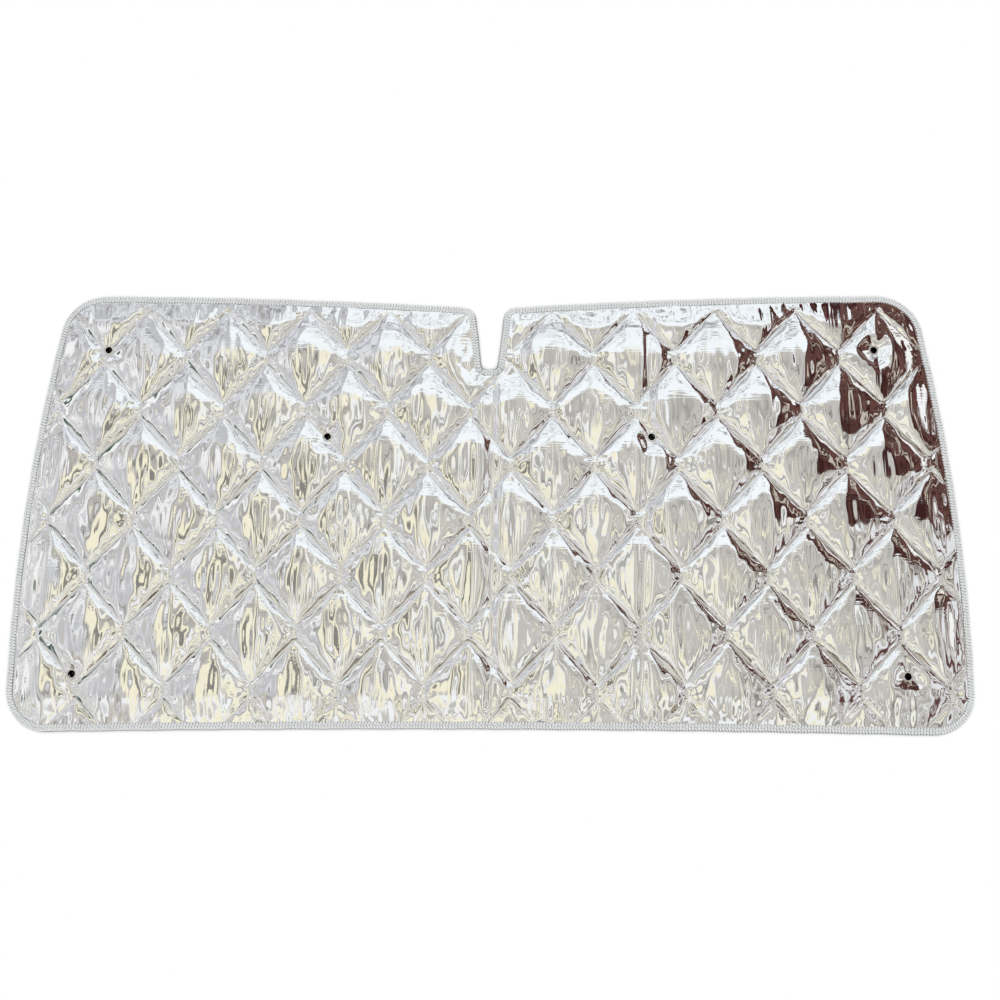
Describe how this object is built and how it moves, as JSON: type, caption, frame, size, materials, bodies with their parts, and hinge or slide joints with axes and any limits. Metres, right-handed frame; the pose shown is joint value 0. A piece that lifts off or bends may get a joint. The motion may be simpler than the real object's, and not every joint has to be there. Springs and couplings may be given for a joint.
{
  "type": "insulated cab curtain",
  "caption": "Quilted foil-faced thermal blind for a cab windscreen, with a mirror notch, an overlocked edge and eyelets for suction cups, lying flat.",
  "frame": {"origin": "on the surface it lies on, under the middle of its bounding box", "axes": "+X to the right along the long side, +Y to the top edge with the mirror notch, +Z out of the foil face"},
  "size_m": [1.39, 0.6548, 0.0137],
  "materials": {
    "aluminised_film": "mirror-bright aluminised film, crumpled",
    "wadding": "bonded polyester wadding",
    "lining": "plain grey lining cloth",
    "binding_thread": "white overlocked polyester thread",
    "nickel_plate": "nickel-plated brass"
  },
  "bodies": {
    "root": {"foil_face": "aluminised_film", "wadding": "wadding", "lining": "lining", "edge_binding": "binding_thread", "eyelet_upper_left": "nickel_plate", "eyelet_upper_right": "nickel_plate", "eyelet_middle_left": "nickel_plate", "eyelet_middle_right": "nickel_plate", "eyelet_lower_left": "nickel_plate", "eyelet_lower_right": "nickel_plate", "eyelet_washer_upper_left": "nickel_plate", "eyelet_washer_upper_right": "nickel_plate", "eyelet_washer_middle_left": "nickel_plate", "eyelet_washer_middle_right": "nickel_plate", "eyelet_washer_lower_left": "nickel_plate", "eyelet_washer_lower_right": "nickel_plate"}
  },
  "joints": []
}
